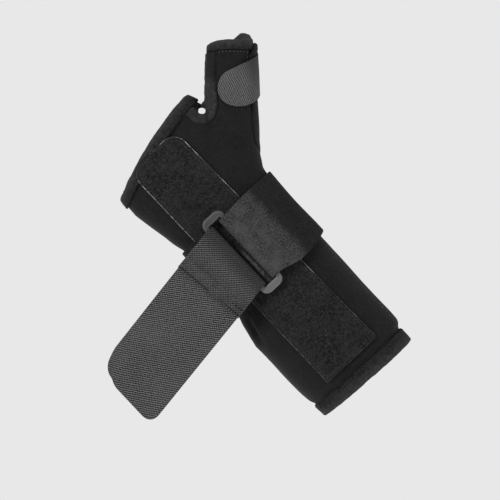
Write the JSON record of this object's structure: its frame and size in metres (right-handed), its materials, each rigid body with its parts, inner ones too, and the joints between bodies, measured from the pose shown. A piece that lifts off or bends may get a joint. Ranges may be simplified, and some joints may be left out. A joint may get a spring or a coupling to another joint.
{
  "type": "thumb spica splint",
  "caption": "Padded black wrist and thumb splint for a right hand: a sleeve with a thumb tube, bound edges, a loop panel on the palm, and a wrist band through a ring buckle.",
  "frame": {"origin": "middle of the forearm opening, where the forearm passes in", "axes": "+Z along the arm from the forearm opening to the fingers, +X to the thumb side, the palm faces -Y"},
  "size_m": [0.2217, 0.068, 0.2324],
  "materials": {
    "sleeve_cloth": "brushed black fabric over thin foam",
    "binding_tape": "folded knit edge tape, stitched",
    "loop_pile": "unbroken loop pile with a cut edge",
    "band_velvet": "short velvety loop face over an elastic ground",
    "hook_tape_back": "woven back of hook tape, dotted rows",
    "thumb_tape": "fine grey moulded hook tape",
    "ring_plastic": "satin moulded plastic"
  },
  "bodies": {
    "root": {"sleeve": "sleeve_cloth", "cuff_binding": "binding_tape", "palm_edge_binding": "binding_tape", "thumb_end_binding": "binding_tape", "thumb_web_binding": "binding_tape", "palm_panel": "loop_pile", "thumb_stay_pocket": "sleeve_cloth", "wrist_band": "band_velvet", "ring_buckle": "ring_plastic", "strap_end_tape": "hook_tape_back", "thumb_strap": "thumb_tape"}
  },
  "joints": []
}
